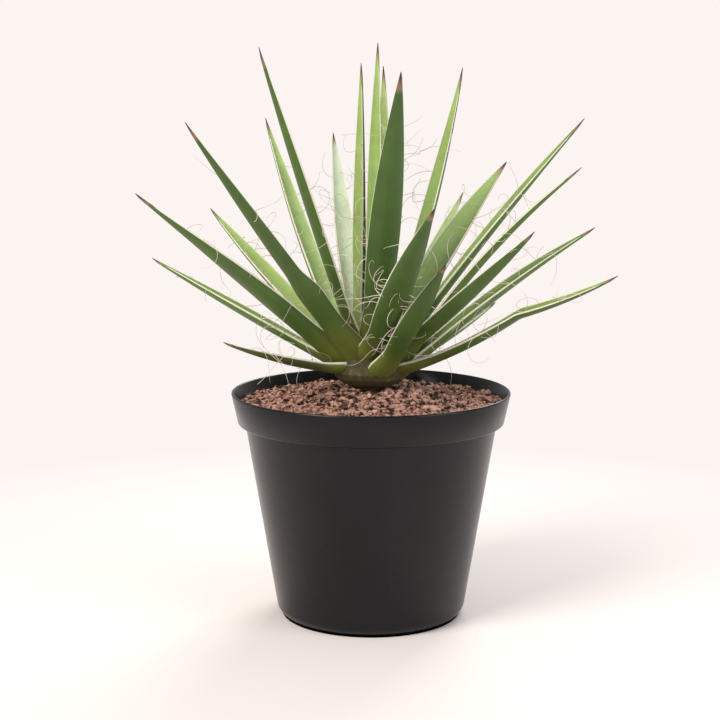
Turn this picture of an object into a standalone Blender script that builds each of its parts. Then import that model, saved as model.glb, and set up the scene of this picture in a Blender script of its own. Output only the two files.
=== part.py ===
"""Potted agave: a rosette of thread-edged leaves in a plain black nursery pot.

The frame is metres with +Z up. The origin is the middle of the pot's underside, and the
camera side of the plant is -Y. Every leaf is its own solid, seated on the crown's dome.
"""

from collections import namedtuple
from math import cos, pi, radians, sin, sqrt

import bmesh
import bpy
from mathutils import Vector

# Pot, in metres
POT_HEIGHT = 0.1385
RIM_RADIUS = 0.085
BAND_HEIGHT = 0.019
BAND_FOOT_RADIUS = 0.0811
BODY_TOP_RADIUS = 0.0764
BODY_FOOT_RADIUS = 0.0582
FOOT_CORNER = 0.008
FOOT_RING_WIDTH = 0.0042
CENTRE_PAD_RADIUS = 0.015
WALL = 0.0013
STEP_ROUND = 0.0006
FLOOR_TOP = 0.0040
FLOOR_RECESS = 0.0026
DRAIN_COUNT = 8
DRAIN_RADIUS = 0.0045
DRAIN_CIRCLE = 0.036
DRAIN_SEGMENTS = 16
POT_SEGMENTS = 40

# Soil, roots and crown
GAP = 0.0003
SOIL_EDGE = 0.1311
SOIL_MOUND = 0.1395
MOUND_RADIUS = 0.022
MOUND_FOOT_RADIUS = 0.056
SOIL_SEGMENTS = 36
CROWN_CENTRE = 0.151
CROWN_RADIUS = 0.023
CROWN_RISE = 0.018
CROWN_DROP = 0.011
STEM_RADIUS = 0.010
STEM_FOOT = 0.112
STEM_HOLLOW_SEGMENTS = 28
CROWN_SEGMENTS = 20
CROWN_FLARE_ANGLES = (-58, -40, -20)
CROWN_DOME_ANGLES = (0, 20, 40, 58, 75)
ROOT_KNOB_RADIUS = 0.0075
ROOT_KNOB_FOOT = 0.098
ROOT_COUNT = 7
ROOT_REACH = 0.046
ROOT_DROP = 0.062
ROOT_THICK = 0.0021
ROOT_THIN = 0.0008
ROOT_STEPS = 7

# Leaves: fractions are shares of a leaf's length or width
LEAF_THICKNESS = 0.0042
LEAF_TIP_THICKNESS = 0.0009
THINNING_POWER = 0.9
BASE_WIDTH_SHARE = 0.50
WIDEST_AT = 0.42
TAPER_POWER = 0.92
SPINE_FROM = 0.93
SPINE_HALF_WIDTH = 0.0008
SPINE_FLARE = 0.0004
POINT_HALF_WIDTH = 0.0005
POINT_THICKNESS = 0.0007
STATIONS = (0.0, 0.07, 0.17, 0.30, 0.44, 0.58, 0.71, 0.83, 0.93, 1.0)
FACE_STEPS = (-1.0, -0.5, 0.0, 0.5, 1.0)
BACK_STEPS = (0.6, 0.0, -0.6)
GUTTER = radians(52)
SECTION_LIFT = 0.95
START_STEP = 0.0025

Leaf = namedtuple("Leaf", "name azimuth seat seat_azimuth rise bend length width roll kink pinch")


def leaf(
    name, azimuth, seat, seat_azimuth, rise, bend, length, width, roll=(0, 0), kink=None, pinch=None
):
    """One row of the plant: angles in degrees, length and width in millimetres.

    azimuth is the compass direction of growth, seat the height angle of the root on the
    crown's dome, rise the mean slope, bend how much the slope grows from root to tip, and
    roll the turn about the leaf's own line at root and tip. kink is (where, turn) and
    pinch is (where, width share beyond it).
    """
    length, width = length / 1000, width / 1000
    return Leaf(name, azimuth, seat, seat_azimuth, rise, bend, length, width, roll, kink, pinch)


LEAVES = (
    leaf("outer_leaf_1", 204, 24, 204, 39, 0, 161, 19, (40, -12)),
    leaf("outer_leaf_2", 171, 14, 172, 28, 4, 130, 13),
    leaf("outer_leaf_3", 145, 23, 143, 38.5, 8, 137, 15, (-8, -8)),
    leaf("outer_leaf_4", 212, 10, 210, 15, 14, 80, 11, (10, 0)),
    leaf("outer_leaf_5", -26, 9, -25, 32, 26, 145, 13, (0, 22), (0.56, -16)),
    leaf("outer_leaf_6", 5, 8, 6, 36, -9, 141, 15, (4, 8)),
    leaf("outer_leaf_7", -4, 20.5, -12, 48, -18, 156, 11, (-4, 0)),
    leaf("outer_leaf_8", -39, 28, -44, 39, 8, 127, 14, (-14, -14)),
    leaf("outer_leaf_9", 302, 13, 293, 47, 9, 91, 18),
    leaf("outer_leaf_10", 70, 18, 62, 30, 0, 185, 13),
    leaf("outer_leaf_11", 92, 4, 92, 16, 10, 92, 13),
    leaf("outer_leaf_12", 122, 6, 122, 22, 8, 98, 13),
    leaf("outer_leaf_13", 46, 4, 42, 18, 8, 98, 13),
    leaf("middle_leaf_1", 225, 36, 236, 47.5, 5, 187, 19, (34, 0), None, (0.33, 0.56)),
    leaf("middle_leaf_2", 131, 40, 160, 60, 10, 160, 13),
    leaf("middle_leaf_3", 108, 40, 116, 66.5, 10, 141, 14),
    leaf("middle_leaf_4", 43, 34, 48, 47, -10, 153, 20, (14, 14)),
    leaf("middle_leaf_5", 289, 38, 272, 42.5, 4, 136, 20),
    leaf("middle_leaf_6", 17, 38, 6, 49, -5, 184, 13, (-14, 6)),
    leaf("middle_leaf_7", 90, 26, 97, 42, 6, 120, 12),
    leaf("inner_leaf_1", 214, 58, 222, 69, 4, 188, 14, (-18, -18)),
    leaf("inner_leaf_2", 70, 60, 150, 88, 4, 168, 11, (-35, -35)),
    leaf("inner_leaf_3", 63, 70, 66, 86.5, 14, 166, 12),
    leaf("inner_leaf_4", 282, 58, 277, 66, 6, 176, 21),
    leaf("inner_leaf_5", 30, 53, 29, 72.5, 10, 175, 12, (8, 8)),
    leaf("heart_leaf", 69, 82, 310, 88, -4, 178, 10),
)


def clear_scene():
    for obj in list(bpy.data.objects):
        bpy.data.objects.remove(obj, do_unlink=True)


def linear(code):
    """A six-digit sRGB colour code as linear red, green, blue and alpha."""
    shares = [int(code[i : i + 2], 16) / 255 for i in (0, 2, 4)]
    return [s / 12.92 if s <= 0.04045 else ((s + 0.055) / 1.055) ** 2.4 for s in shares] + [1.0]


def material(name, code, roughness):
    """A plain Principled material, made once for each name."""
    found = bpy.data.materials.get(name)
    if found:
        return found
    made = bpy.data.materials.new(name)
    made.use_nodes = True
    shader = made.node_tree.nodes["Principled BSDF"]
    shader.inputs["Base Color"].default_value = linear(code)
    shader.inputs["Roughness"].default_value = roughness
    shader.inputs["Metallic"].default_value = 0.0
    return made


def new_object(name, bm, finish, smooth_under=35):
    """A bmesh as a scene object, its faces pointing out and its soft edges shaded smooth."""
    bmesh.ops.recalc_face_normals(bm, faces=bm.faces)
    mesh = bpy.data.meshes.new(name)
    bm.to_mesh(mesh)
    bm.free()
    mesh.shade_smooth()
    mesh.set_sharp_from_angle(angle=radians(smooth_under))
    obj = bpy.data.objects.new(name, mesh)
    bpy.context.scene.collection.objects.link(obj)
    obj.data.materials.append(finish)
    return obj


def turned(name, outline, segments, finish):
    """A solid turned about Z from a list of (radius, height) points.

    An outline that starts and ends on the axis is closed by it; any other is a ring section
    and is closed by its own last edge.
    """
    bm = bmesh.new()
    points = [bm.verts.new((radius, 0.0, height)) for radius, height in outline]
    runs = list(zip(points, points[1:]))
    if outline[0][0] > 0:
        runs.append((points[-1], points[0]))
    edges = [bm.edges.new(run) for run in runs]
    whole = points + edges
    up = (0, 0, 1)
    bmesh.ops.spin(bm, geom=whole, axis=up, angle=2 * pi, steps=segments, use_merge=True)
    bmesh.ops.remove_doubles(bm, verts=bm.verts, dist=1e-6)
    return new_object(name, bm, finish)


def arc(centre, radius, start, end, steps):
    """Points (radius, height) along a round corner, from one angle in degrees to another."""
    turns = [radians(start + (end - start) * i / steps) for i in range(steps + 1)]
    return [(centre[0] + radius * cos(a), centre[1] + radius * sin(a)) for a in turns]


def boolean(target, other, operation):
    """Joins or cuts with another object, which stays in the file as a hidden guide."""
    modifier = target.modifiers.new(operation.title(), "BOOLEAN")
    modifier.operation = operation
    modifier.solver = "EXACT"
    modifier.object = other
    other.hide_render = True
    other.display_type = "WIRE"


def make_pot():
    """The thin moulded pot: banded rim, tapered body, foot ring, centre pad and drain holes."""
    band_foot = POT_HEIGHT - BAND_HEIGHT
    foot_ring_in = BODY_FOOT_RADIUS - FOOT_CORNER * 0.41 - FOOT_RING_WIDTH
    corner = arc((BODY_FOOT_RADIUS - FOOT_CORNER, FOOT_CORNER), FOOT_CORNER, -10, -66, 4)
    outside = [
        (RIM_RADIUS - 0.0008, POT_HEIGHT),
        (RIM_RADIUS - 0.0002, POT_HEIGHT - 0.0003),
        (RIM_RADIUS, POT_HEIGHT - 0.0010),
        (BAND_FOOT_RADIUS + 0.0001, band_foot + 0.0008),
        (BAND_FOOT_RADIUS - STEP_ROUND, band_foot + 0.0001),
        (BODY_TOP_RADIUS + 0.0014, band_foot - 0.0004),
        (BODY_TOP_RADIUS + 0.0003, band_foot - 0.0009),
        (BODY_TOP_RADIUS, band_foot - 0.0022),
    ]
    under = [
        (foot_ring_in + FOOT_RING_WIDTH, 0.0),
        (foot_ring_in, 0.0),
        (foot_ring_in - 0.0006, FLOOR_RECESS),
        (CENTRE_PAD_RADIUS + 0.0008, FLOOR_RECESS),
        (CENTRE_PAD_RADIUS, 0.0),
        (0.0, 0.0),
    ]
    inside = soil_chamber(0.0)[::-1] + [(0.0, FLOOR_TOP)]
    outline = (outside + corner + under)[::-1] + inside
    pot = turned("pot", outline, POT_SEGMENTS, material("pot_plastic", "1d1c20", 0.32))
    drill = bmesh.new()
    for index in range(DRAIN_COUNT):
        turn = 2 * pi * (index + 0.5) / DRAIN_COUNT
        made = bmesh.ops.create_cone(
            drill,
            cap_ends=True,
            segments=DRAIN_SEGMENTS,
            radius1=DRAIN_RADIUS,
            radius2=DRAIN_RADIUS,
            depth=4 * FLOOR_TOP,
        )
        place = Vector((DRAIN_CIRCLE * cos(turn), DRAIN_CIRCLE * sin(turn), FLOOR_TOP))
        bmesh.ops.translate(drill, verts=made["verts"], vec=place)
    boolean(pot, new_object("drain_drill", drill, pot.data.materials[0]), "DIFFERENCE")


def soil_chamber(clearance):
    """The pot's inner wall from its floor to its rim, pulled in by the clearance."""
    band_foot = POT_HEIGHT - BAND_HEIGHT
    corner_radius = FOOT_CORNER - WALL
    centre = (BODY_FOOT_RADIUS - FOOT_CORNER, FLOOR_TOP + corner_radius)
    corner = arc(centre, corner_radius, -85, -15, 3)
    wall = [
        (BODY_TOP_RADIUS - WALL, band_foot - 0.0014),
        (BODY_TOP_RADIUS - WALL + STEP_ROUND, band_foot + 0.0004),
        (BAND_FOOT_RADIUS - WALL - STEP_ROUND, band_foot + 0.0014),
        (RIM_RADIUS - WALL - 0.0003, POT_HEIGHT - 0.0004),
        (RIM_RADIUS - WALL + 0.0002, POT_HEIGHT),
    ]
    return [(radius - clearance, height) for radius, height in corner + wall]


def crown_outline():
    """The stem below the soil, the flare above it and the dome that carries the leaves."""
    flare = [
        (CROWN_RADIUS * cos(radians(a)), CROWN_CENTRE + CROWN_DROP * sin(radians(a)))
        for a in CROWN_FLARE_ANGLES
    ]
    dome = [
        (CROWN_RADIUS * cos(radians(a)), CROWN_CENTRE + CROWN_RISE * sin(radians(a)))
        for a in CROWN_DOME_ANGLES
    ]
    stem = [(STEM_RADIUS - 0.002, STEM_FOOT), (STEM_RADIUS, STEM_FOOT + 0.004), (STEM_RADIUS, SOIL_MOUND)]
    return [(0.0, STEM_FOOT)] + stem + flare + dome + [(0.0, CROWN_CENTRE + CROWN_RISE)]


def make_crown():
    turned("crown", crown_outline(), CROWN_SEGMENTS, material("crown_green", "4a4524", 0.6))


def tube(bm, path, radii, sides):
    """A closed round tube through the path, drawn by extruding its first end point to point."""
    across = (path[1] - path[0]).orthogonal().normalized()
    cap = None
    for index, place in enumerate(path):
        ahead = (path[min(index + 1, len(path) - 1)] - path[max(index - 1, 0)]).normalized()
        across = (across - ahead * across.dot(ahead)).normalized()
        beside = ahead.cross(across)
        turns = [2 * pi * side / sides for side in range(sides)]
        ring = [place + (across * cos(a) + beside * sin(a)) * radii[index] for a in turns]
        cap = extrude_to(bm, cap, ring)


def extrude_to(bm, cap, ring):
    """Extrudes the end face to a new ring of points, or draws the first face."""
    if cap is None:
        return bm.faces.new([bm.verts.new(point) for point in ring])
    closes_start = len(bm.faces) == 1
    grown = bmesh.ops.extrude_face_region(bm, geom=[cap])
    face = next(item for item in grown["geom"] if isinstance(item, bmesh.types.BMFace))
    if not closes_start:
        bmesh.ops.delete(bm, geom=[cap], context="FACES_ONLY")
    for vert, point in zip(face.verts, ring):
        vert.co = point
    return face


def root_path(index):
    """A root from inside the knob, out and then down in an easy curve."""
    turn = 2 * pi * (index + 0.3 * sin(2.4 * index)) / ROOT_COUNT
    reach = ROOT_REACH * (0.8 + 0.2 * cos(1.7 * index))
    drop = ROOT_DROP * (0.8 + 0.2 * sin(2.1 * index))
    start = ROOT_KNOB_FOOT + 0.006
    path = []
    for step in range(ROOT_STEPS + 1):
        share = step / ROOT_STEPS
        out = 0.002 + reach * sin(share * pi / 2)
        swing = turn + 0.25 * share * share * sin(3.0 * index)
        path.append(Vector((out * cos(swing), out * sin(swing), start - drop * share**1.6)))
    return path


def root_system(name, grow):
    """The knob under the stem with its main roots joined to it."""
    finish = material("root_brown", "6b5138", 0.85)
    top = STEM_FOOT - GAP
    knob_line = [
        (0.0, ROOT_KNOB_FOOT - grow),
        (ROOT_KNOB_RADIUS * 0.6 + grow, ROOT_KNOB_FOOT - grow * 0.5),
        (ROOT_KNOB_RADIUS + grow, ROOT_KNOB_FOOT + 0.004),
        (ROOT_KNOB_RADIUS + grow, top + 3 * grow),
        (0.0, top + 3 * grow),
    ]
    knob = turned(name, knob_line, 16, finish)
    for index in range(ROOT_COUNT):
        bm = bmesh.new()
        shares = [step / ROOT_STEPS for step in range(ROOT_STEPS + 1)]
        radii = [ROOT_THICK + (ROOT_THIN - ROOT_THICK) * share + grow for share in shares]
        tube(bm, root_path(index), radii, 6)
        boolean(knob, new_object(f"{name}_strand_{index + 1}", bm, finish), "UNION")
    return knob


def make_soil():
    """The soil block: fills the pot, mounds up to the crown, and is hollowed for stem and roots."""
    wall = [point for point in soil_chamber(GAP) if point[1] < SOIL_EDGE - 0.001]
    slope = (RIM_RADIUS - BAND_FOOT_RADIUS) / BAND_HEIGHT
    above_band_foot = SOIL_EDGE - (POT_HEIGHT - BAND_HEIGHT)
    edge_radius = BAND_FOOT_RADIUS - WALL - STEP_ROUND + slope * above_band_foot - 2 * GAP
    mound = []
    for step in range(5):
        share = step / 4
        radius = MOUND_FOOT_RADIUS + (MOUND_RADIUS - MOUND_FOOT_RADIUS) * share
        mound.append((radius, SOIL_EDGE + (SOIL_MOUND - GAP - SOIL_EDGE) * (1 - cos(pi * share)) / 2))
    outline = [(0.0, FLOOR_TOP + GAP)] + [(r, max(h, FLOOR_TOP + GAP)) for r, h in wall]
    outline += [(edge_radius, SOIL_EDGE)] + mound + [(0.0, SOIL_MOUND - GAP)]
    soil = turned("soil", outline, SOIL_SEGMENTS, material("potting_soil", "8a6a58", 0.95))
    stem = [
        (0.0, STEM_FOOT - 3 * GAP),
        (STEM_RADIUS + GAP, STEM_FOOT - 3 * GAP),
        (STEM_RADIUS + GAP, SOIL_MOUND + 0.004),
        (0.0, SOIL_MOUND + 0.004),
    ]
    boolean(soil, turned("stem_hollow", stem, STEM_HOLLOW_SEGMENTS, soil.data.materials[0]), "DIFFERENCE")
    boolean(soil, root_system("root_hollow", 1.3 * GAP), "DIFFERENCE")


def leaf_half_width(row, share):
    """Half the leaf's flat width: full at WIDEST_AT, then an even taper to a needle spine."""
    if share < WIDEST_AT:
        wide = BASE_WIDTH_SHARE + (1 - BASE_WIDTH_SHARE) * sin(pi / 2 * share / WIDEST_AT)
    else:
        wide = cos(pi / 2 * (share - WIDEST_AT) / (1 - WIDEST_AT)) ** TAPER_POWER
    if row.pinch and share > row.pinch[0]:
        wide *= row.pinch[1]
    spine = SPINE_HALF_WIDTH + SPINE_FLARE * (1 - share) / (1 - SPINE_FROM)
    return max(wide * row.width / 2, spine) if share < 1 else POINT_HALF_WIDTH


def leaf_thickness(share):
    thinning = LEAF_THICKNESS + (LEAF_TIP_THICKNESS - LEAF_THICKNESS) * share**THINNING_POWER
    return thinning if share < 1 else POINT_THICKNESS


def leaf_frame(row, share):
    """Direction, side and upper-face normal at a share of the leaf's length."""
    rise = radians(row.rise + row.bend * (share - 0.5))
    if row.kink and share > row.kink[0]:
        rise += radians(row.kink[1])
    azimuth = radians(row.azimuth)
    ahead = Vector((cos(rise) * cos(azimuth), cos(rise) * sin(azimuth), sin(rise)))
    side = Vector((-sin(azimuth), cos(azimuth), 0.0))
    face = ahead.cross(side)
    roll = radians(row.roll[0] + (row.roll[1] - row.roll[0]) * share)
    return ahead, side * cos(roll) + face * sin(roll), face * cos(roll) - side * sin(roll)


def leaf_seat(row):
    """The point on the crown's dome that the leaf grows from."""
    seat, azimuth = radians(row.seat), radians(row.seat_azimuth)
    out = Vector((cos(seat) * cos(azimuth), cos(seat) * sin(azimuth), sin(seat)))
    reach = 1 / sqrt((out.x**2 + out.y**2) / CROWN_RADIUS**2 + out.z**2 / CROWN_RISE**2)
    return Vector((0, 0, CROWN_CENTRE)) + out * reach


def leaf_place(row, share, steps=40):
    """The centre line's point at a share of the length, summed along the changing slope."""
    place = leaf_seat(row)
    for step in range(steps):
        ahead = leaf_frame(row, share * (step + 0.5) / steps)[0]
        place = place + ahead * (row.length * share / steps)
    return place


def leaf_ring(row, share):
    """The gutter-shaped section: five points over the upper face, three round the back."""
    _, side, face = leaf_frame(row, share)
    place = leaf_place(row, share)
    radius = leaf_half_width(row, share) / GUTTER
    thickness = leaf_thickness(share)
    ring = []
    for step in FACE_STEPS:
        turn = GUTTER * step
        ring.append(place + side * radius * sin(turn) + face * radius * (SECTION_LIFT - cos(turn)))
    for step in BACK_STEPS:
        turn = GUTTER * step
        depth = radius + thickness * sqrt(1 - step * step)
        lift = SECTION_LIFT * radius - depth * cos(turn)
        ring.append(place + side * depth * sin(turn) + face * lift)
    return ring


def clear_of_crown(ring):
    """True where a whole ring stands off the crown's dome by the gap."""
    wide = CROWN_RADIUS + 2 * GAP
    for point in ring:
        height = point.z - CROWN_CENTRE
        tall = (CROWN_RISE if height > 0 else CROWN_DROP) + 2 * GAP
        if (point.x**2 + point.y**2) / wide**2 + height**2 / tall**2 < 1:
            return False
    return True


def make_leaf(row):
    """A leaf from the first section that clears the crown to its spine."""
    start = 0.0
    while not clear_of_crown(leaf_ring(row, start)):
        start += START_STEP
    bm = bmesh.new()
    cap = None
    for station in STATIONS:
        cap = extrude_to(bm, cap, leaf_ring(row, start + (1 - start) * station))
    new_object(row.name, bm, material("leaf_green", "4d6a24", 0.42), 50)


def main():
    clear_scene()
    make_pot()
    make_soil()
    root_system("roots", 0.0)
    make_crown()
    for row in LEAVES:
        make_leaf(row)


main()
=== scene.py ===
"""Potted agave: the looks of the plant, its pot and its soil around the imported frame."""

from collections import namedtuple
from math import cos, pi, radians, sin, sqrt
from random import Random

import bmesh
import bpy
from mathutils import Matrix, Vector


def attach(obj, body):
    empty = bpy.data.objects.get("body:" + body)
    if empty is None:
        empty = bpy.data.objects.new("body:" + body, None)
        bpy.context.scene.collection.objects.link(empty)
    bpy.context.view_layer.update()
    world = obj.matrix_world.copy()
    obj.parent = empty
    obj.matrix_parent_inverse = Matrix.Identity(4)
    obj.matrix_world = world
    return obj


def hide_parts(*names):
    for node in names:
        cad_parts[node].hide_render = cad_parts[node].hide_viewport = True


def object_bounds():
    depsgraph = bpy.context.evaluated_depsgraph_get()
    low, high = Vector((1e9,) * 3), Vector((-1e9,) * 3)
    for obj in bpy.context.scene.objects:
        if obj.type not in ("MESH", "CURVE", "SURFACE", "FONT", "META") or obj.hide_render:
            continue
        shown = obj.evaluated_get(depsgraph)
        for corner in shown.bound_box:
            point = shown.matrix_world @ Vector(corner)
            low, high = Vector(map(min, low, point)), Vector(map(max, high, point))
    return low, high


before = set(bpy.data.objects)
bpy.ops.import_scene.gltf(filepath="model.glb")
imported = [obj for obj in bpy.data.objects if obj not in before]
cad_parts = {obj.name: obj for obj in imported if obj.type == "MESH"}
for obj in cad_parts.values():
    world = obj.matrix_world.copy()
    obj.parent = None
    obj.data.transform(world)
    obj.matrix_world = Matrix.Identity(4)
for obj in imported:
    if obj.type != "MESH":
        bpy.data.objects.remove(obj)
cad_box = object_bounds()

bl_info = {
    "name": "Potted Agave",
    "version": (1, 0, 0),
    "blender": (4, 5, 0),
    "location": "View3D > Sidebar > Agave",
    "description": "Builds the leaves, threads, soil and pot finish of a potted agave",
    "category": "Object",
}

# The plant's own measures in metres, as in the model's source.
POT_HEIGHT = 0.1385
RIM_RADIUS = 0.085
BAND_HEIGHT = 0.019
BAND_FOOT_RADIUS = 0.0811
BODY_TOP_RADIUS = 0.0764
BODY_FOOT_RADIUS = 0.0582
FOOT_CORNER = 0.008
FOOT_RING_WIDTH = 0.0042
CENTRE_PAD_RADIUS = 0.015
WALL = 0.0013
STEP_ROUND = 0.0006
FLOOR_TOP = 0.0040
FLOOR_RECESS = 0.0026
DRAIN_COUNT = 8
DRAIN_RADIUS = 0.0045
DRAIN_CIRCLE = 0.036
SOIL_EDGE = 0.1311
SOIL_MOUND = 0.1395
MOUND_RADIUS = 0.022
MOUND_FOOT_RADIUS = 0.056
CROWN_CENTRE = 0.151
CROWN_RADIUS = 0.023
CROWN_RISE = 0.018
LEAF_THICKNESS = 0.0042
LEAF_TIP_THICKNESS = 0.0009
BASE_WIDTH_SHARE = 0.50
WIDEST_AT = 0.42
TAPER_POWER = 0.92
THINNING_POWER = 0.9
GUTTER = radians(52)
SECTION_LIFT = 0.95

Leaf = namedtuple(
    "Leaf", "name azimuth seat seat_azimuth rise bend length width roll kink pinch face under"
)


def leaf(
    name, azimuth, seat, seat_azimuth, rise, bend, length, width,
    roll=(0, 0), kink=None, pinch=None, face="a3c46c", under="557526",
):
    """One leaf: angles in degrees, sizes in millimetres, then its upper and under colours, which are its
    green with painted light and painted shade.

    azimuth is the compass direction of growth, seat and seat_azimuth the place of its foot
    on the crown's dome, rise the mean slope and bend how much the slope grows to the tip.
    roll is the turn about its own line at foot and tip, kink (where, turn) and pinch
    (where, width share beyond it).
    """
    growth = (azimuth, seat, seat_azimuth, rise, bend, length / 1000, width / 1000)
    return Leaf(name, *growth, roll, kink, pinch, face, under)


# Each leaf's face and under colours are its green with painted light and painted shade: paler where its
# upper face is lit, darker on its shaded underside and on leaves in shade.
LEAVES = (
    leaf("outer_leaf_1", 204, 24, 204, 39, 0, 161, 19, (40, -12), face="6f8a3a", under="4b6a20"),
    leaf("outer_leaf_2", 171, 14, 172, 28, 4, 130, 13, face="8cab54", under="587a2a"),
    leaf("outer_leaf_3", 145, 23, 143, 38.5, 8, 137, 15, (-8, -8), face="b5d27a", under="56702a"),
    leaf("outer_leaf_4", 212, 10, 210, 15, 14, 80, 11, (10, 0), face="7c8c44", under="4f5a26"),
    leaf("outer_leaf_5", -26, 9, -25, 32, 26, 145, 13, (0, 22), (0.56, -16),
         face="9dbf5e", under="4a6224"),
    leaf("outer_leaf_6", 5, 8, 6, 36, -9, 141, 15, (4, 8), face="8fae58", under="557526"),
    leaf("outer_leaf_7", -4, 20.5, -12, 48, -18, 156, 11, (-4, 0), face="94b45c", under="557526"),
    leaf("outer_leaf_8", -39, 28, -44, 39, 8, 127, 14, (-14, -14), face="7b9440", under="486420"),
    leaf("outer_leaf_9", 302, 13, 293, 47, 9, 91, 18, face="7a9140", under="44611e"),
    leaf("outer_leaf_10", 70, 18, 62, 30, 0, 185, 13, face="b2cd7c", under="50682a"),
    leaf("outer_leaf_11", 92, 4, 92, 16, 10, 92, 13),
    leaf("outer_leaf_12", 122, 6, 122, 22, 8, 98, 13),
    leaf("outer_leaf_13", 46, 4, 42, 18, 8, 98, 13),
    leaf("middle_leaf_1", 225, 36, 236, 47.5, 5, 187, 19, (34, 0), None, (0.33, 0.56),
         face="86a24a", under="46641e"),
    leaf("middle_leaf_2", 131, 40, 160, 60, 10, 160, 13, face="b9d688", under="5a742c"),
    leaf("middle_leaf_3", 108, 40, 116, 66.5, 10, 141, 14, face="dcebc9", under="7d9850"),
    leaf("middle_leaf_4", 43, 34, 48, 47, -10, 153, 20, (14, 14), face="b4cf82", under="4c6426"),
    leaf("middle_leaf_5", 289, 38, 272, 42.5, 4, 136, 20, face="7e9844", under="42601c"),
    leaf("middle_leaf_6", 17, 38, 6, 49, -5, 184, 13, (-14, 6), face="93b25c", under="547426"),
    leaf("middle_leaf_7", 90, 26, 97, 42, 6, 120, 12),
    leaf("inner_leaf_1", 214, 58, 222, 69, 4, 188, 14, (-18, -18), face="86a24a", under="4d6c22"),
    leaf("inner_leaf_2", 70, 60, 150, 88, 4, 168, 11, (-35, -35), face="a9c86c", under="4f6826"),
    leaf("inner_leaf_3", 63, 70, 66, 86.5, 14, 166, 12, face="b5d27c", under="566e2a"),
    leaf("inner_leaf_4", 282, 58, 277, 66, 6, 176, 21, face="7f9a44", under="44641e"),
    leaf("inner_leaf_5", 30, 53, 29, 72.5, 10, 175, 12, (8, 8), face="a5c56a", under="4c6424"),
    leaf("heart_leaf", 69, 82, 310, 88, -4, 178, 10, face="a8c96e", under="53692a"),
)

# How finely the visible leaves are drawn.
ALONG_STEPS = 60
FACE_STEPS = 14
BACK_STEPS = 12
ROOT_SHARE = -0.07
CLASP_UNTIL = 0.20
CLASP_WIDTH = 0.015
SPINE_HALF_WIDTH = 0.0008
SPINE_TAPER = 0.06
POINT_HALF_WIDTH = 0.00018
MOST_THICKNESS = 1.4

# The threads, crumbs and fibres.
THREAD_STEPS = 11
THREAD_SAG = 0.03
THREAD_THINNING = 0.55
THREAD_LENGTHS = (0.010, 0.036)
THREAD_SHARES = (0.16, 0.82)
CRUMB_INNER = 0.012
CRUMB_OUTER = 0.0795
CRUMB_LIMIT = 0.0808
CRUMB_SIZES = (0.5, 0.7, 0.7, 1.0, 1.0, 1.5)
FIBRE_COUNT = 150
FIBRE_RADIUS = 0.00028
FIBRE_STEP = 0.0016


class AgavePotSettings(bpy.types.PropertyGroup):
    """The pot's colours and fineness"""

    plastic: bpy.props.StringProperty(
        name="Plastic", description="Pot colour as sRGB hex", default="0f0e13"
    )
    dust: bpy.props.StringProperty(
        name="Dust", description="Colour of the dust specks", default="8d8880"
    )
    segments: bpy.props.IntProperty(
        name="Segments", description="Steps around the pot", default=144, min=32
    )


class AgaveLeafSettings(bpy.types.PropertyGroup):
    """The leaves' and threads' colours and sizes"""

    margin: bpy.props.StringProperty(
        name="Margin", description="Horny leaf edge colour", default="e6e2cf"
    )
    spine: bpy.props.StringProperty(name="Spine", description="Tip spine colour", default="4a2f28")
    joint: bpy.props.StringProperty(
        name="Joint", description="Colour below the spine", default="b98470"
    )
    base: bpy.props.StringProperty(
        name="Base", description="Colour of the clasping base", default="6f7a2e"
    )
    clasp: bpy.props.FloatProperty(
        name="Clasp", description="How much the base widens", default=1.5, min=0
    )
    thread: bpy.props.StringProperty(
        name="Thread", description="Marginal thread colour", default="ddd2c4"
    )
    thread_width: bpy.props.FloatProperty(
        name="Thread width", description="Thread diameter", default=0.00042, unit="LENGTH"
    )
    threads: bpy.props.IntProperty(
        name="Threads", description="Threads on each leaf", default=14, min=0
    )


class AgaveSoilSettings(bpy.types.PropertyGroup):
    """The soil's colours and crumbs"""

    pale: bpy.props.StringProperty(name="Pale", description="Dry coir colour", default="dcb29e")
    dark: bpy.props.StringProperty(name="Dark", description="Damp compost colour", default="2a1b15")
    crumbs: bpy.props.IntProperty(
        name="Crumbs", description="Coir crumbs on the surface", default=2200, min=0
    )
    crumb_size: bpy.props.FloatProperty(
        name="Crumb size", description="Middle crumb size", default=0.0032, unit="LENGTH"
    )


class AgaveStageSettings(bpy.types.PropertyGroup):
    """The backdrop and the lamps"""

    backdrop: bpy.props.StringProperty(name="Backdrop", description="Backdrop colour", default="fcf4f1")
    light: bpy.props.FloatProperty(
        name="Light", description="Level of all the lamps", default=1.0, min=0
    )


def linear(code):
    """A six-digit sRGB colour code as linear red, green, blue and alpha."""
    shares = [int(code[i : i + 2], 16) / 255 for i in (0, 2, 4)]
    return [s / 12.92 if s <= 0.04045 else ((s + 0.055) / 1.055) ** 2.4 for s in shares] + [1.0]


def smooth(low, high, value):
    """0 below low, 1 above high and an easy curve between."""
    share = min(1.0, max(0.0, (value - low) / (high - low)))
    return share * share * (3 - 2 * share)


def mixed(first, second, share):
    return [a + (b - a) * share for a, b in zip(first, second)]


def add(tree, kind, links=None, **settings):
    """Adds a node with its settings; links gives each input a value or another node's output."""
    node = tree.nodes.new(kind)
    for name, value in settings.items():
        setattr(node, name, value)
    for key, value in (links or {}).items():
        socket = node.inputs[key]
        if isinstance(value, bpy.types.NodeSocket):
            tree.links.new(value, socket)
        else:
            socket.default_value = value
    return node


def new_material(name):
    """An empty node material with its output and a Principled shader joined."""
    made = bpy.data.materials.new(name)
    made.use_nodes = True
    made.node_tree.nodes.clear()
    shader = add(made.node_tree, "ShaderNodeBsdfPrincipled")
    add(made.node_tree, "ShaderNodeOutputMaterial", {"Surface": shader.outputs[0]})
    return made, made.node_tree, shader


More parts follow.
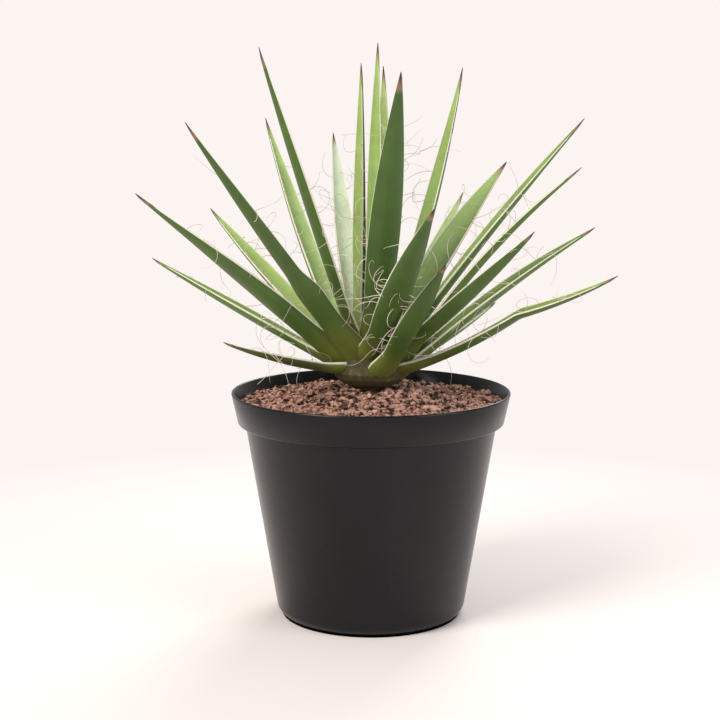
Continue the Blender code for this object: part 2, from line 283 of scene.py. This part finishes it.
def ramp(tree, factor, *stops):
    """A colour ramp from (place, hex) stops."""
    node = add(tree, "ShaderNodeValToRGB", {"Fac": factor})
    elements = node.color_ramp.elements
    while len(elements) < len(stops):
        elements.new(0.5)
    for element, (place, code) in zip(elements, stops):
        element.position = place
        element.color = linear(code)
    return node.outputs["Color"]


def noise(tree, coords, scale, detail=3.0, rough=0.5):
    """Cloudy noise of so many cells to the metre, or to one unit of a leaf's own map."""
    links = {"Vector": coords, "Scale": scale, "Detail": detail, "Roughness": rough}
    return add(tree, "ShaderNodeTexNoise", links).outputs["Fac"]


def mix_colour(tree, factor, first, second, blend="MIX"):
    """Two colours mixed or multiplied."""
    links = {0: factor, 6: first, 7: second}
    return add(tree, "ShaderNodeMix", links, data_type="RGBA", blend_type=blend).outputs[2]


def plastic_material(settings):
    """Injection-moulded polypropylene: near black with a satin gloss, faint dust and scuffs."""
    made, tree, shader = new_material("moulded_polypropylene")
    place = add(tree, "ShaderNodeTexCoord").outputs["Object"]
    cloud = noise(tree, place, 45, 4)
    tone = ramp(tree, cloud, (0.3, "0a0a0d"), (0.7, settings.plastic), (1.0, "171516"))
    grit = noise(tree, place, 900, 1)
    specks = ramp(tree, grit, (0.79, "000000"), (0.83, "6a6a6a"))
    tree.links.new(mix_colour(tree, specks, tone, linear(settings.dust)), shader.inputs["Base Color"])
    worn = add(tree, "ShaderNodeMapRange", {"Value": cloud, "To Min": 0.20, "To Max": 0.33})
    tree.links.new(worn.outputs[0], shader.inputs["Roughness"])
    skin = noise(tree, place, 600, 2)
    bump = add(tree, "ShaderNodeBump", {"Height": skin, "Strength": 0.03, "Distance": 0.0003})
    tree.links.new(bump.outputs[0], shader.inputs["Normal"])
    shader.inputs["IOR"].default_value = 1.49
    shader.inputs["Specular IOR Level"].default_value = 0.30
    return made


def leaf_material(settings):
    """Waxy agave skin: matt bloom over green, fine lengthwise lines and a pale horny edge."""
    made, tree, shader = new_material("agave_leaf_skin")
    place = add(tree, "ShaderNodeTexCoord").outputs["Object"]
    uv = add(tree, "ShaderNodeUVMap", uv_map="leaf_map").outputs[0]
    # The leaf's colour from its points: its green with painted light on lit upper faces and painted shade
    # on shaded undersides.
    tint = add(tree, "ShaderNodeVertexColor", layer_name="leaf_tint_and_painted_light").outputs["Color"]
    split = add(tree, "ShaderNodeSeparateXYZ", {0: uv})
    # Distance from the middle line, 0 at the keel and 1 at the edge.
    off_middle = add(tree, "ShaderNodeMath", {0: split.outputs[0], 1: 0.5}, operation="SUBTRACT")
    off_middle = add(tree, "ShaderNodeMath", {0: off_middle.outputs[0]}, operation="ABSOLUTE")
    links = {"Value": off_middle.outputs[0], "From Min": 0.452, "From Max": 0.474}
    edge = add(tree, "ShaderNodeMapRange", links, interpolation_type="SMOOTHSTEP")
    mottle = noise(tree, place, 60, 4, 0.6)
    fleck = ramp(tree, mottle, (0.32, "c9c9c9"), (0.62, "ffffff"))
    body = mix_colour(tree, 0.55, tint, fleck, "MULTIPLY")
    lines = add(tree, "ShaderNodeMapping", {"Vector": uv, "Scale": (70.0, 1.2, 1.0)})
    grain = noise(tree, lines.outputs[0], 1.0, 3)
    streak = ramp(tree, grain, (0.35, "d2d2d2"), (0.65, "ffffff"))
    body = mix_colour(tree, 0.5, body, streak, "MULTIPLY")
    low = add(tree, "ShaderNodeMapRange", {"Value": split.outputs[1], "From Min": 0.90, "From Max": 0.93})
    keep = add(tree, "ShaderNodeMath", {0: 1.0, 1: low.outputs[0]}, operation="SUBTRACT")
    links = {0: edge.outputs[0], 1: keep.outputs[0]}
    edge_share = add(tree, "ShaderNodeMath", links, operation="MULTIPLY")
    body = mix_colour(tree, edge_share.outputs[0], body, linear(settings.margin))
    tree.links.new(body, shader.inputs["Base Color"])
    gloss = add(tree, "ShaderNodeMapRange", {"Value": mottle, "To Min": 0.38, "To Max": 0.58})
    tree.links.new(gloss.outputs[0], shader.inputs["Roughness"])
    bump = add(tree, "ShaderNodeBump", {"Height": grain, "Strength": 0.25, "Distance": 0.0005})
    tree.links.new(bump.outputs[0], shader.inputs["Normal"])
    return made


def crown_material():
    """Old clasping leaf bases: fibrous olive brown, matt."""
    made, tree, shader = new_material("dry_leaf_base")
    place = add(tree, "ShaderNodeTexCoord").outputs["Object"]
    fibre = noise(tree, place, 220, 5, 0.65)
    tone = ramp(tree, fibre, (0.3, "2e2a16"), (0.55, "4d4724"), (0.8, "7a6c3c"))
    tree.links.new(tone, shader.inputs["Base Color"])
    bump = add(tree, "ShaderNodeBump", {"Height": fibre, "Strength": 0.5, "Distance": 0.001})
    tree.links.new(bump.outputs[0], shader.inputs["Normal"])
    shader.inputs["Roughness"].default_value = 0.72
    return made


def thread_material(settings):
    """Peeling marginal fibre: dry, papery and pale."""
    made, tree, shader = new_material("peeling_leaf_fibre")
    place = add(tree, "ShaderNodeTexCoord").outputs["Object"]
    age = noise(tree, place, 70, 2)
    tone = ramp(tree, age, (0.3, "a89a8a"), (0.6, settings.thread), (0.8, "efe8de"))
    tree.links.new(tone, shader.inputs["Base Color"])
    shader.inputs["Roughness"].default_value = 0.75
    return made


def soil_material(settings, name, spread):
    """Coir and compost: dry pinkish tan crumbs over damp dark brown."""
    made, tree, shader = new_material(name)
    place = add(tree, "ShaderNodeTexCoord").outputs["Object"]
    patch = noise(tree, place, spread, 4, 0.7)
    tone = ramp(
        tree, patch, (0.42, settings.dark), (0.47, "7d5646"), (0.52, "cb9c8a"), (0.62, settings.pale)
    )
    tree.links.new(tone, shader.inputs["Base Color"])
    fine = noise(tree, place, 900, 4, 0.7)
    bump = add(tree, "ShaderNodeBump", {"Height": fine, "Strength": 0.8, "Distance": 0.0012})
    tree.links.new(bump.outputs[0], shader.inputs["Normal"])
    shader.inputs["Roughness"].default_value = 0.95
    return made


def root_material():
    """Fleshy roots with a corky brown skin."""
    made, tree, shader = new_material("corky_root_skin")
    place = add(tree, "ShaderNodeTexCoord").outputs["Object"]
    tone = ramp(tree, noise(tree, place, 300, 4), (0.3, "4c3826"), (0.7, "8a6c4c"))
    tree.links.new(tone, shader.inputs["Base Color"])
    shader.inputs["Roughness"].default_value = 0.85
    return made


def object_from(name, points, faces, material):
    """A mesh object at the origin, linked to the scene, with its material."""
    mesh = bpy.data.meshes.new(name)
    mesh.from_pydata(points, [], faces)
    mesh.update()
    made = bpy.data.objects.new(name, mesh)
    bpy.context.scene.collection.objects.link(made)
    mesh.materials.append(material)
    return made


def deselect_all():
    """Leaves edit mode and selects nothing."""
    if bpy.context.object and bpy.context.object.mode != "OBJECT":
        bpy.ops.object.mode_set(mode="OBJECT")
    bpy.ops.object.select_all(action="DESELECT")


def take(piece):
    """Makes this piece the only one selected."""
    deselect_all()
    piece.select_set(True)
    bpy.context.view_layer.objects.active = piece


def arc(centre, radius, start, end, steps):
    """Points (radius, height) along a round corner, from one angle in degrees to another."""
    turns = [radians(start + (end - start) * i / steps) for i in range(steps + 1)]
    return [(centre[0] + radius * cos(a), centre[1] + radius * sin(a)) for a in turns]


def pot_outline():
    """The pot's wall section as (radius, height), from the rim down, under and up inside."""
    foot = POT_HEIGHT - BAND_HEIGHT
    foot_in = BODY_FOOT_RADIUS - FOOT_CORNER * 0.41 - FOOT_RING_WIDTH
    outside = [
        (RIM_RADIUS - 0.0006, POT_HEIGHT),
        (RIM_RADIUS - 0.0002, POT_HEIGHT - 0.0003),
        (RIM_RADIUS, POT_HEIGHT - 0.0010),
        (BAND_FOOT_RADIUS + 0.0001, foot + 0.0008),
        (BAND_FOOT_RADIUS - STEP_ROUND, foot + 0.0001),
        (BODY_TOP_RADIUS + 0.0014, foot - 0.0004),
        (BODY_TOP_RADIUS + 0.0003, foot - 0.0009),
        (BODY_TOP_RADIUS, foot - 0.0022),
    ]
    corner = arc((BODY_FOOT_RADIUS - FOOT_CORNER, FOOT_CORNER), FOOT_CORNER, -10, -66, 8)
    under = [
        (foot_in + FOOT_RING_WIDTH, 0.0),
        (foot_in, 0.0),
        (foot_in - 0.0006, FLOOR_RECESS),
        (CENTRE_PAD_RADIUS + 0.0008, FLOOR_RECESS),
        (CENTRE_PAD_RADIUS, 0.0),
        (0.0, 0.0),
    ]
    inner = FOOT_CORNER - WALL
    bowl = [(0.0, FLOOR_TOP)]
    bowl += arc((BODY_FOOT_RADIUS - FOOT_CORNER, FLOOR_TOP + inner), inner, -85, -15, 6)
    bowl += [
        (BODY_TOP_RADIUS - WALL, foot - 0.0014),
        (BODY_TOP_RADIUS - WALL + STEP_ROUND, foot + 0.0004),
        (BAND_FOOT_RADIUS - WALL - STEP_ROUND, foot + 0.0014),
        (RIM_RADIUS - WALL - 0.0003, POT_HEIGHT - 0.0004),
        (RIM_RADIUS - WALL + 0.0002, POT_HEIGHT),
    ]
    return outside + corner + under + bowl


class AGAVE_OT_pot(bpy.types.Operator):
    """Turns the pot's wall section and drills its drain holes"""

    bl_idname = "agave.pot"
    bl_label = "Pot"

    def execute(self, context):
        settings = context.scene.agave_pot
        outline = pot_outline()
        points = [(radius, 0.0, height) for radius, height in outline]
        finish = plastic_material(settings)
        pot = object_from("nursery_pot", points, [], finish)
        bm = bmesh.new()
        bm.from_mesh(pot.data)
        bm.verts.ensure_lookup_table()
        axis_pair = [i for i, (radius, _) in enumerate(outline) if radius == 0.0]
        for index in range(len(points)):
            following = (index + 1) % len(points)
            if [index, following] != axis_pair:
                bm.edges.new((bm.verts[index], bm.verts[following]))
        bm.to_mesh(pot.data)
        bm.free()
        take(pot)
        bpy.ops.object.mode_set(mode="EDIT")
        bpy.ops.mesh.select_all(action="SELECT")
        bpy.ops.mesh.spin(
            steps=settings.segments, angle=2 * pi, center=(0, 0, 0), axis=(0, 0, 1), use_auto_merge=True
        )
        bpy.ops.mesh.select_all(action="SELECT")
        bpy.ops.mesh.remove_doubles(threshold=1e-6)
        bpy.ops.mesh.normals_make_consistent(inside=False)
        bpy.ops.object.mode_set(mode="OBJECT")
        for index in range(DRAIN_COUNT):
            turn = 2 * pi * (index + 0.5) / DRAIN_COUNT
            deselect_all()
            where = (DRAIN_CIRCLE * cos(turn), DRAIN_CIRCLE * sin(turn), FLOOR_TOP)
            bpy.ops.mesh.primitive_cylinder_add(
                vertices=24, radius=DRAIN_RADIUS, depth=4 * FLOOR_TOP, location=where
            )
            drill = context.object
            take(pot)
            cut = pot.modifiers.new("Drain", "BOOLEAN")
            cut.operation = "DIFFERENCE"
            cut.object = drill
            bpy.ops.object.modifier_apply(modifier=cut.name)
            bpy.data.objects.remove(drill, do_unlink=True)
        take(pot)
        bpy.ops.object.shade_smooth_by_angle(angle=radians(40))
        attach(pot, "root")
        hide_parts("pot")
        return {"FINISHED"}


def leaf_half_width(row, share, clasp):
    """Half the flat width: a broad clasping base, full at WIDEST_AT, then a taper to the spine."""
    if share < WIDEST_AT:
        turn = pi / 2 * max(share, 0.0) / WIDEST_AT
        wide = BASE_WIDTH_SHARE + (1 - BASE_WIDTH_SHARE) * sin(turn)
    else:
        wide = cos(pi / 2 * (share - WIDEST_AT) / (1 - WIDEST_AT)) ** TAPER_POWER
    if row.pinch:
        narrow = smooth(row.pinch[0] - 0.05, row.pinch[0] + 0.07, share)
        wide *= 1 + (row.pinch[1] - 1) * narrow
    wide = wide * row.width / 2
    if share < CLASP_UNTIL:
        low = (1 - max(share, 0.0) / CLASP_UNTIL) ** 2
        wide *= 1 + clasp * low * min(1.0, CLASP_WIDTH / row.width)
    spine = SPINE_HALF_WIDTH * min(1.0, max(0.0, 1 - share) / SPINE_TAPER)
    return max(wide, spine + POINT_HALF_WIDTH)


def leaf_frame(row, share):
    """Direction, side and upper-face normal at a share of the leaf's length."""
    rise = radians(row.rise + row.bend * (share - 0.5))
    if row.kink:
        rise += radians(row.kink[1]) * smooth(row.kink[0] - 0.015, row.kink[0] + 0.015, share)
    azimuth = radians(row.azimuth)
    ahead = Vector((cos(rise) * cos(azimuth), cos(rise) * sin(azimuth), sin(rise)))
    side = Vector((-sin(azimuth), cos(azimuth), 0.0))
    face = ahead.cross(side)
    roll = radians(row.roll[0] + (row.roll[1] - row.roll[0]) * share)
    return ahead, side * cos(roll) + face * sin(roll), face * cos(roll) - side * sin(roll)


def leaf_seat(row):
    """The point on the crown's dome that the leaf grows from."""
    seat, azimuth = radians(row.seat), radians(row.seat_azimuth)
    out = Vector((cos(seat) * cos(azimuth), cos(seat) * sin(azimuth), sin(seat)))
    reach = 1 / sqrt((out.x**2 + out.y**2) / CROWN_RADIUS**2 + out.z**2 / CROWN_RISE**2)
    return Vector((0, 0, CROWN_CENTRE)) + out * reach


def leaf_line(row):
    """Shares and points along the leaf's middle, from inside the crown to the spine's point."""
    span = (1 - ROOT_SHARE) / ALONG_STEPS
    shares = [ROOT_SHARE + span * step for step in range(ALONG_STEPS + 1)]
    place = leaf_seat(row) + leaf_frame(row, ROOT_SHARE / 2)[0] * (row.length * ROOT_SHARE)
    line = [place]
    for share in shares[1:]:
        place = place + leaf_frame(row, share - span / 2)[0] * (row.length * span)
        line.append(place)
    return shares, line


def leaf_ring(row, share, place, clasp):
    """Points round a gutter section, each with its place across it, -1 to 1, and True on the face."""
    _, side, face = leaf_frame(row, share)
    radius = leaf_half_width(row, share, clasp) / GUTTER
    thinned = max(share, 0.0) ** THINNING_POWER
    thin = LEAF_THICKNESS + (LEAF_TIP_THICKNESS - LEAF_THICKNESS) * thinned
    thickness = min(thin, radius * GUTTER * MOST_THICKNESS)
    ring = []
    for step in range(FACE_STEPS + 1):
        across = -1 + 2 * step / FACE_STEPS
        turn = GUTTER * across
        lift = radius * (SECTION_LIFT - cos(turn))
        ring.append((place + side * radius * sin(turn) + face * lift, across, True))
    for step in range(1, BACK_STEPS):
        across = cos(pi * step / BACK_STEPS)
        turn = GUTTER * across
        depth = radius + thickness * sqrt(1 - across * across)
        lift = SECTION_LIFT * radius - depth * cos(turn)
        ring.append((place + side * depth * sin(turn) + face * lift, across, False))
    return ring


def leaf_tint_and_painted_light(row, share, upper, settings):
    """The leaf's colour before its mottling: base, blade, joint and spine; the blade's upper and under
    colours carry painted light and painted shade as well as its green.
    """
    # Both colours carry painted light and painted shade over the leaf's green: paler on lit upper faces,
    # darker on shaded undersides.
    blade = linear(row.face if upper else row.under)
    colour = mixed(linear(settings.base), blade, smooth(0.02, 0.22, share))
    colour = mixed(colour, linear(settings.joint), smooth(0.93, 0.955, share) * 0.7)
    return mixed(colour, linear(settings.spine), smooth(0.955, 0.975, share))


def build_leaf(row, settings, finish):
    """One leaf as a closed skin with its map and its tint."""
    shares, line = leaf_line(row)
    points, maps, tints, faces = [], [], [], []
    for share, place in zip(shares, line):
        for point, across, upper in leaf_ring(row, share, place, settings.clasp):
            points.append(point)
            maps.append((0.5 + 0.5 * across, max(share, 0.0)))
            tints.append(leaf_tint_and_painted_light(row, share, upper, settings))
    ring = FACE_STEPS + BACK_STEPS
    for step in range(ALONG_STEPS):
        for around in range(ring):
            here, there = step * ring, (step + 1) * ring
            beside = (around + 1) % ring
            faces.append((here + around, here + beside, there + beside, there + around))
    faces.append(tuple(range(ring - 1, -1, -1)))
    faces.append(tuple(ALONG_STEPS * ring + around for around in range(ring)))
    piece = object_from("green_" + row.name, points, faces, finish)
    layer = piece.data.uv_layers.new(name="leaf_map")
    for loop in piece.data.loops:
        layer.data[loop.index].uv = maps[loop.vertex_index]
    # This colour layer holds painted light and painted shade from the face and under colours.
    colours = piece.data.color_attributes.new("leaf_tint_and_painted_light", "FLOAT_COLOR", "POINT")
    for index, tint in enumerate(tints):
        colours.data[index].color = tint
    take(piece)
    bpy.ops.object.mode_set(mode="EDIT")
    bpy.ops.mesh.select_all(action="SELECT")
    bpy.ops.mesh.normals_make_consistent(inside=False)
    bpy.ops.object.mode_set(mode="OBJECT")
    bpy.ops.object.shade_smooth_by_angle(angle=radians(55))
    return piece


class AGAVE_OT_leaves(bpy.types.Operator):
    """Draws every leaf with its clasping base, pale edge and dark spine"""

    bl_idname = "agave.leaves"
    bl_label = "Leaves"

    def execute(self, context):
        settings = context.scene.agave_leaf
        finish = leaf_material(settings)
        for row in LEAVES:
            piece = build_leaf(row, settings, finish)
            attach(piece, "root")
            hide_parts(row.name)
        crown = bpy.data.objects["crown"]
        crown.data.materials.clear()
        crown.data.materials.append(crown_material())
        roots = bpy.data.objects["roots"]
        roots.data.materials.clear()
        roots.data.materials.append(root_material())
        return {"FINISHED"}


def thread_path(draw, start, outward, length, low, high):
    """A loose curl of fibre from a leaf's edge, kept inside the plant's own box."""
    heading = (outward + Vector([draw.uniform(-0.5, 0.5) for _ in range(3)])).normalized()
    turn_axis = Vector([draw.uniform(-1, 1) for _ in range(3)]).normalized()
    curl = draw.uniform(0.12, 0.55) * draw.choice((-1, 1))
    path = [start]
    for _ in range(THREAD_STEPS):
        turn_axis = (turn_axis + Vector([draw.uniform(-0.25, 0.25) for _ in range(3)])).normalized()
        across = turn_axis.cross(heading)
        heading = heading * cos(curl) + across * sin(curl) - Vector((0, 0, THREAD_SAG))
        heading.normalize()
        place = path[-1] + heading * (length / THREAD_STEPS)
        path.append(Vector([min(max(p, a), b) for p, a, b in zip(place, low, high)]))
    return path


def add_tube(points, faces, path, radius, sides=3):
    """Adds a thin closed tube along the path to lists of points and faces."""
    across = (path[1] - path[0]).orthogonal().normalized()
    first = len(points)
    last = len(path) - 1
    for index, place in enumerate(path):
        ahead = path[min(index + 1, last)] - path[max(index - 1, 0)]
        if ahead.length > 1e-7:
            ahead.normalize()
            across = (across - ahead * across.dot(ahead)).normalized()
        beside = ahead.cross(across)
        thin = radius * (1 - THREAD_THINNING * index / last)
        for side in range(sides):
            turn = 2 * pi * side / sides
            points.append(place + (across * cos(turn) + beside * sin(turn)) * thin)
    for index in range(last):
        for side in range(sides):
            beside = (side + 1) % sides
            here, there = first + index * sides, first + (index + 1) * sides
            faces.append((here + side, here + beside, there + beside, there + side))
    faces.append(tuple(first + side for side in range(sides - 1, -1, -1)))
    faces.append(tuple(first + last * sides + side for side in range(sides)))


class AGAVE_OT_threads(bpy.types.Operator):
    """Curls the pale threads that peel from the leaf edges"""

    bl_idname = "agave.threads"
    bl_label = "Threads"

    def execute(self, context):
        settings = context.scene.agave_leaf
        finish = thread_material(settings)
        low, high = cad_box
        for number, row in enumerate(LEAVES):
            draw = Random(100 + number)
            shares, line = leaf_line(row)
            points, faces = [], []
            for _ in range(settings.threads):
                index = int(draw.uniform(*THREAD_SHARES) * ALONG_STEPS)
                ring = leaf_ring(row, shares[index], line[index], settings.clasp)
                hand = draw.choice((0, FACE_STEPS))
                _, side, face = leaf_frame(row, shares[index])
                outward = side * (1 if hand else -1) + face * 0.4
                length = draw.uniform(*THREAD_LENGTHS)
                path = thread_path(draw, ring[hand][0], outward, length, low, high)
                add_tube(points, faces, path, settings.thread_width / 2)
            threads = object_from("threads_" + row.name, points, faces, finish)
            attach(threads, "root")
        return {"FINISHED"}


def soil_height(radius):
    """Height of the soil's surface at a distance from the stem."""
    if radius >= MOUND_FOOT_RADIUS:
        return SOIL_EDGE
    share = max(0.0, (MOUND_FOOT_RADIUS - radius) / (MOUND_FOOT_RADIUS - MOUND_RADIUS))
    return SOIL_EDGE + (SOIL_MOUND - SOIL_EDGE) * (1 - cos(pi * min(1.0, share))) / 2


class AGAVE_OT_soil(bpy.types.Operator):
    """Scatters coir crumbs and fibres over the soil"""

    bl_idname = "agave.soil"
    bl_label = "Soil"

    def execute(self, context):
        settings = context.scene.agave_soil
        soil = bpy.data.objects["soil"]
        soil.data.materials.clear()
        soil.data.materials.append(soil_material(settings, "coir_compost", 160))
        draw = Random(7)
        deselect_all()
        bpy.ops.mesh.primitive_ico_sphere_add(subdivisions=1, radius=0.5, location=(0, 0, 0))
        seed = context.object
        shape = [vert.co.copy() for vert in seed.data.vertices]
        sides = [tuple(face.vertices) for face in seed.data.polygons]
        bpy.data.objects.remove(seed, do_unlink=True)
        points, faces = [], []
        for _ in range(settings.crumbs):
            radius = sqrt(draw.uniform(CRUMB_INNER**2, CRUMB_OUTER**2))
            turn = draw.uniform(0, 2 * pi)
            size = settings.crumb_size * draw.choice(CRUMB_SIZES)
            size = min(size, 2 * (CRUMB_LIMIT - radius) + 0.0005)
            height = soil_height(radius) + size * 0.15
            middle = Vector((radius * cos(turn), radius * sin(turn), height))
            stretch = [draw.uniform(0.6, 1.3) for _ in range(3)]
            swing = draw.uniform(0, pi)
            first = len(points)
            for corner in shape:
                bent = [corner[i] * stretch[i] * draw.uniform(0.75, 1.25) for i in range(3)]
                x = bent[0] * cos(swing) - bent[1] * sin(swing)
                y = bent[0] * sin(swing) + bent[1] * cos(swing)
                points.append(middle + Vector((x, y, bent[2] * 0.8)) * size)
            faces.extend(tuple(first + corner for corner in side) for side in sides)
        crumbs = object_from("coir_crumbs", points, faces, soil_material(settings, "coir_crumb", 210))
        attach(crumbs, "root")
        points, faces = [], []
        for _ in range(FIBRE_COUNT):
            radius, turn = draw.uniform(0.022, 0.074), draw.uniform(0, 2 * pi)
            heading = draw.uniform(0, 2 * pi)
            path = []
            for step in range(6):
                heading += draw.uniform(-0.5, 0.5)
                x = radius * cos(turn) + FIBRE_STEP * step * cos(heading)
                y = radius * sin(turn) + FIBRE_STEP * step * sin(heading)
                height = soil_height(sqrt(x * x + y * y)) + 0.0016 + draw.uniform(0, 0.0012)
                path.append(Vector((x, y, height)))
            add_tube(points, faces, path, FIBRE_RADIUS)
        fibres = object_from("coir_fibres", points, faces, soil_material(settings, "coir_fibre", 90))
        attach(fibres, "root")
        return {"FINISHED"}


def add_lamp(name, where, aim, size, watts, tone):
    """A soft rectangular lamp pointed at a place."""
    data = bpy.data.lights.new(name, "AREA")
    data.size = size
    data.energy = watts
    data.color = linear(tone)[:3]
    lamp = bpy.data.objects.new(name, data)
    bpy.context.scene.collection.objects.link(lamp)
    lamp.location = where
    lamp.rotation_euler = (Vector(aim) - Vector(where)).to_track_quat("-Z", "Y").to_euler()


def stage_material(settings):
    """A pale paper floor that keeps the pot's soft shadow and runs to plain paper colour."""
    made = bpy.data.materials.new("paper_sweep")
    made.use_nodes = True
    tree = made.node_tree
    tree.nodes.clear()
    place = add(tree, "ShaderNodeTexCoord").outputs["Object"]
    far = add(tree, "ShaderNodeVectorMath", {0: place}, operation="LENGTH").outputs["Value"]
    fade = add(tree, "ShaderNodeMapRange", {"Value": far, "From Min": 0.16, "From Max": 0.5}).outputs[0]
    path = add(tree, "ShaderNodeLightPath")
    links = {0: path.outputs["Is Camera Ray"], 1: path.outputs["Is Glossy Ray"]}
    seen = add(tree, "ShaderNodeMath", links, operation="MAXIMUM")
    links = {0: seen.outputs[0], 1: path.outputs["Is Transmission Ray"]}
    seen = add(tree, "ShaderNodeMath", links, operation="MAXIMUM")
    share = add(tree, "ShaderNodeMath", {0: fade, 1: seen.outputs[0]}, operation="MULTIPLY")
    paper = add(tree, "ShaderNodeBsdfDiffuse", {"Color": linear(settings.backdrop)})
    glow = add(tree, "ShaderNodeEmission", {"Color": linear(settings.backdrop), "Strength": 1.0})
    links = {0: share.outputs[0], 1: paper.outputs[0], 2: glow.outputs[0]}
    mix = add(tree, "ShaderNodeMixShader", links)
    add(tree, "ShaderNodeOutputMaterial", {"Surface": mix.outputs[0]})
    return made


class AGAVE_OT_stage(bpy.types.Operator):
    """Lays the pale floor, hangs the lamps and sets the camera"""

    bl_idname = "agave.stage"
    bl_label = "Stage"

    def execute(self, context):
        settings = context.scene.agave_stage
        scene = context.scene
        deselect_all()
        bpy.ops.mesh.primitive_circle_add(vertices=64, radius=6.0, fill_type="NGON", location=(0, 0, 0))
        floor = context.object
        floor.name = "paper_floor"
        floor.data.materials.append(stage_material(settings))
        level = settings.light
        add_lamp("key_lamp", (-1.3, -1.2, 1.5), (0, 0, 0.2), 1.0, 34 * level, "fff8f0")
        add_lamp("fill_lamp", (1.5, -0.9, 0.8), (0, 0, 0.15), 1.2, 12 * level, "f2f6ff")
        add_lamp("back_lamp", (0.5, 1.5, 1.3), (0, 0, 0.25), 1.0, 20 * level, "ffffff")
        world = scene.world or bpy.data.worlds.new("studio")
        scene.world = world
        world.use_nodes = True
        tree = world.node_tree
        tree.nodes.clear()
        path = add(tree, "ShaderNodeLightPath")
        links = {0: path.outputs["Is Camera Ray"], 1: path.outputs["Is Transmission Ray"]}
        seen = add(tree, "ShaderNodeMath", links, operation="MAXIMUM")
        soft = add(tree, "ShaderNodeBackground", {"Color": linear("f4f1ee"), "Strength": 0.55 * level})
        plain = add(tree, "ShaderNodeBackground", {"Color": linear(settings.backdrop), "Strength": 1.0})
        links = {0: seen.outputs[0], 1: soft.outputs[0], 2: plain.outputs[0]}
        mix = add(tree, "ShaderNodeMixShader", links)
        add(tree, "ShaderNodeOutputWorld", {"Surface": mix.outputs[0]})
        data = bpy.data.cameras.new("view")
        data.lens = 78.98
        data.sensor_width = 36.0
        camera = bpy.data.objects.new("view", data)
        scene.collection.objects.link(camera)
        camera.location = (0.0, -0.950, 0.3064)
        camera.rotation_euler = (radians(90 - 8.925), 0.0, radians(0.404))
        scene.camera = camera
        scene.view_settings.view_transform = "Standard"
        return {"FINISHED"}


OPERATORS = (AGAVE_OT_stage, AGAVE_OT_pot, AGAVE_OT_soil, AGAVE_OT_leaves, AGAVE_OT_threads)
SETTINGS = {
    "agave_pot": AgavePotSettings,
    "agave_leaf": AgaveLeafSettings,
    "agave_soil": AgaveSoilSettings,
    "agave_stage": AgaveStageSettings,
}


class AGAVE_PT_panel(bpy.types.Panel):
    """Lists the agave's settings and its building steps"""

    bl_idname = "AGAVE_PT_panel"
    bl_label = "Potted Agave"
    bl_space_type = "VIEW_3D"
    bl_region_type = "UI"
    bl_category = "Agave"

    def draw(self, context):
        for name, group in SETTINGS.items():
            column = self.layout.column(align=True)
            for prop in group.__annotations__:
                column.prop(getattr(context.scene, name), prop)
        for operator in OPERATORS:
            self.layout.operator(operator.bl_idname)


def register():
    """Registers the settings, the building steps and the panel."""
    for group in SETTINGS.values():
        bpy.utils.register_class(group)
    for operator in OPERATORS:
        bpy.utils.register_class(operator)
    bpy.utils.register_class(AGAVE_PT_panel)
    for name, group in SETTINGS.items():
        setattr(bpy.types.Scene, name, bpy.props.PointerProperty(type=group))


def unregister():
    """Takes the panel, the building steps and the settings away again."""
    for name in SETTINGS:
        delattr(bpy.types.Scene, name)
    bpy.utils.unregister_class(AGAVE_PT_panel)
    for operator in reversed(OPERATORS):
        bpy.utils.unregister_class(operator)
    for group in reversed(SETTINGS.values()):
        bpy.utils.unregister_class(group)


def main():
    """Builds everything in order."""
    register()
    bpy.ops.agave.stage()
    bpy.ops.agave.pot()
    bpy.ops.agave.soil()
    bpy.ops.agave.leaves()
    bpy.ops.agave.threads()


if __name__ == "__main__":
    main()
